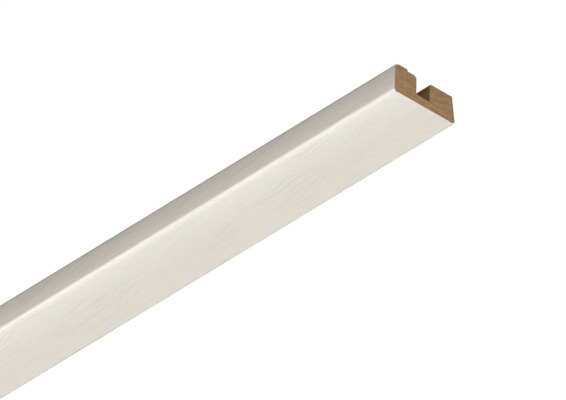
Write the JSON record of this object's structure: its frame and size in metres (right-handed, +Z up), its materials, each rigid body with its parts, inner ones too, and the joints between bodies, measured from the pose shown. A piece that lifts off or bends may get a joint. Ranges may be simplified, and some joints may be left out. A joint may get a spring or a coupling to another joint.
{
  "type": "ceiling moulding",
  "caption": "Straight ceiling moulding strip: a milled fibreboard core with a clip groove in its back, wrapped in off-white wood-print decor foil.",
  "frame": {"origin": "on the flat of the lip that touches the ceiling, at the middle of the strip's length", "axes": "+X along the strip, +Y from the foil-wrapped room side to the bare wall side, +Z up to the ceiling"},
  "size_m": [0.325, 0.04, 0.0175],
  "materials": {
    "fibreboard": "bare medium-density fibreboard, milled and sawn, matt brown",
    "decor_foil": "satin off-white decor foil with a faint ash wood print"
  },
  "bodies": {
    "root": {"fibreboard_core": "fibreboard", "decor_foil": "decor_foil"}
  },
  "joints": []
}
